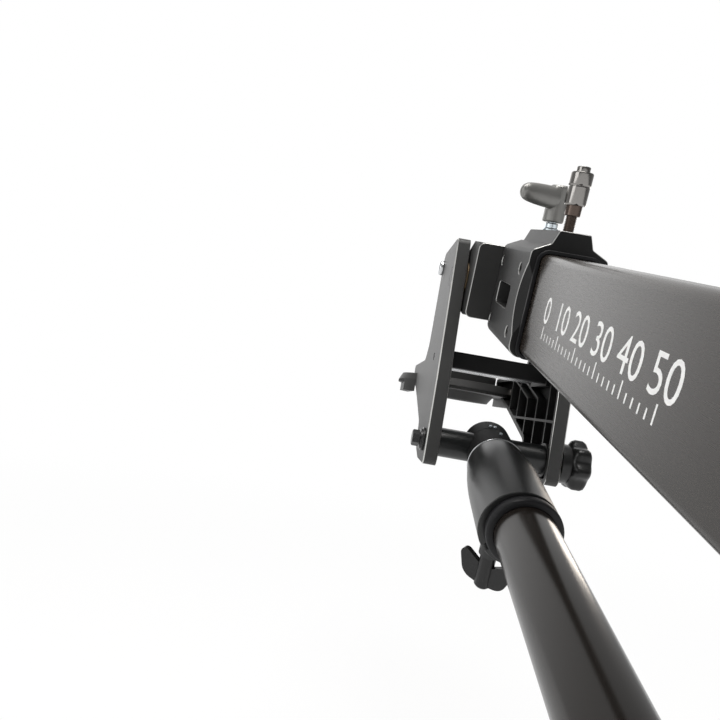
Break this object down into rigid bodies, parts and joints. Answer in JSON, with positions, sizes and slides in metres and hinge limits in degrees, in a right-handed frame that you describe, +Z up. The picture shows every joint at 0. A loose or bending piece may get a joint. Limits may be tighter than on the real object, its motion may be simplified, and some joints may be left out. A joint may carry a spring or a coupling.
{
  "type": "camera jib crane",
  "caption": "Telescoping counterweighted camera jib: box boom and parallel round lower arm on a panning yoke, ribbed head plates and a camera bowl.",
  "frame": {"origin": "middle of the flat tripod face under the pan base", "axes": "+Z up out of the tripod face, +X along the boom towards the camera end, +Y to the left of the boom"},
  "size_m": [1.6781, 0.236, 0.6893],
  "materials": {
    "anodised": "satin dark anodised tube",
    "casting": "satin dark enamel over machined casting",
    "plastic": "black moulded plastic",
    "rubber": "black rubber",
    "steel": "bright turned steel",
    "black_steel": "blackened polished steel",
    "bronze": "bearing bronze",
    "graphite": "graphite textured coating over a die casting",
    "iron": "dark enamelled cast iron",
    "vial": "green level liquid under glass"
  },
  "bodies": {
    "base": {"mount_plate": "anodised", "pan_housing": "casting", "pan_spindle": "steel"},
    "turntable_body": {"turntable": "anodised", "yoke_floor": "casting", "cheek_left": "casting", "cheek_right": "casting", "yoke_spacer": "black_steel", "fulcrum_axle": "steel", "arm_axle": "steel", "level_cup": "black_steel", "level_vial": "vial"},
    "pan_brake": {"pan_brake_knob": "plastic"},
    "tilt_brake": {"tilt_brake_lever": "graphite"},
    "boom": {"boom_tube": "anodised", "tilt_bush": "bronze", "boom_end_cap": "plastic", "boom_collar": "casting", "collar_gasket": "rubber", "slide_liner_front": "plastic", "slide_liner_rear": "plastic", "ratchet_stud": "steel", "index_body": "black_steel", "weight_bar": "steel", "weight_flange_left": "black_steel", "weight_flange_right": "black_steel", "counterweight_left": "iron", "counterweight_right": "iron"},
    "stop_left": {"weight_stop_left": "casting"},
    "stop_right": {"weight_stop_right": "casting"},
    "stop_screw_left": {"stop_knob_left": "plastic"},
    "stop_screw_right": {"stop_knob_right": "plastic"},
    "ratchet": {"ratchet_lever": "graphite"},
    "index": {"index_pin": "black_steel"},
    "boom_front": {"inner_boom_tube": "anodised", "pivot_block": "casting", "head_bush_left": "bronze", "head_bush_right": "bronze"},
    "head": {"head_plate_left": "casting", "head_plate_right": "casting", "head_axle": "steel", "cross_bar": "anodised", "cross_bar_bolt": "steel", "cross_bar_washer": "steel", "front_tie_rod": "black_steel", "tie_cap_left": "steel", "tie_cap_right": "steel", "cross_beam": "casting", "camera_bowl": "casting"},
    "bar_knob": {"cross_bar_knob": "plastic"},
    "lower_arm": {"arm_tube": "anodised", "rear_eye": "casting", "arm_bush_left": "bronze", "arm_bush_right": "bronze", "clamp_sleeve": "casting", "sleeve_lip": "rubber"},
    "sleeve_screw": {"wing_screw": "plastic"},
    "lower_front": {"inner_arm_tube": "anodised", "front_eye": "casting", "eye_cap": "casting"}
  },
  "joints": [
    {"name": "pan", "type": "hinge", "parent": "base", "child": "turntable_body", "pos_m": [0, 0, 0.04], "axis": [0, 0, 1], "continuous": true},
    {"name": "pan_brake_turn", "type": "hinge", "parent": "turntable_body", "child": "pan_brake", "pos_m": [0, -0.06, 0.0473], "axis": [0, 1, 0], "continuous": true},
    {"name": "tilt_brake_turn", "type": "hinge", "parent": "turntable_body", "child": "tilt_brake", "pos_m": [0, 0.043, 0.34], "axis": [0, 1, 0], "range_deg": [-55, 55]},
    {"name": "boom_tilt", "type": "hinge", "parent": "turntable_body", "child": "boom", "pos_m": [0, 0, 0.34], "axis": [0, -1, 0], "range_deg": [-50, 38]},
    {"name": "boom_extension", "type": "slide", "parent": "boom", "child": "boom_front", "axis": [0.9511, 0, 0.309], "range_m": [0, 0.45]},
    {"name": "head_level", "type": "hinge", "parent": "boom_front", "child": "head", "pos_m": [0.85595, 0, 0.61811], "axis": [0, -1, 0], "range_deg": [-38, 50]},
    {"name": "lower_arm_tilt", "type": "hinge", "parent": "turntable_body", "child": "lower_arm", "pos_m": [0, 0, 0.1678], "axis": [0, -1, 0], "range_deg": [-50, 38]},
    {"name": "lower_extension", "type": "slide", "parent": "lower_arm", "child": "lower_front", "axis": [0.9511, 0, 0.309], "range_m": [0, 0.45]},
    {"name": "ratchet_turn", "type": "hinge", "parent": "boom", "child": "ratchet", "pos_m": [0.75579, 0, 0.67074], "axis": [-0.309, 0, 0.9511], "range_deg": [-110, 20]},
    {"name": "index_press", "type": "slide", "parent": "boom", "child": "index", "axis": [-0.309, 0, 0.9511], "range_m": [-0.006, 0]},
    {"name": "sleeve_screw_turn", "type": "hinge", "parent": "lower_arm", "child": "sleeve_screw", "pos_m": [0.73516, 0.017, 0.36461], "axis": [-0.309, 0, 0.9511], "continuous": true},
    {"name": "bar_knob_turn", "type": "hinge", "parent": "head", "child": "bar_knob", "pos_m": [0.85595, -0.08, 0.44592], "axis": [0, 1, 0], "continuous": true},
    {"name": "stop_slide_left", "type": "slide", "parent": "boom", "child": "stop_left", "axis": [0, 1, 0], "range_m": [0, 0.035]},
    {"name": "stop_slide_right", "type": "slide", "parent": "boom", "child": "stop_right", "axis": [0, -1, 0], "range_m": [0, 0.035]},
    {"name": "stop_screw_turn_left", "type": "hinge", "parent": "stop_left", "child": "stop_screw_left", "pos_m": [-0.3633, 0.0676, 0.22196], "axis": [-0.309, 0, 0.9511], "continuous": true},
    {"name": "stop_screw_turn_right", "type": "hinge", "parent": "stop_right", "child": "stop_screw_right", "pos_m": [-0.3633, -0.0676, 0.22196], "axis": [-0.309, 0, 0.9511], "continuous": true}
  ],
  "couplings": [
    {"joint": "head_level", "follows": "boom_tilt", "ratio": -1},
    {"joint": "lower_arm_tilt", "follows": "boom_tilt", "ratio": 1},
    {"joint": "lower_extension", "follows": "boom_extension", "ratio": 1}
  ]
}
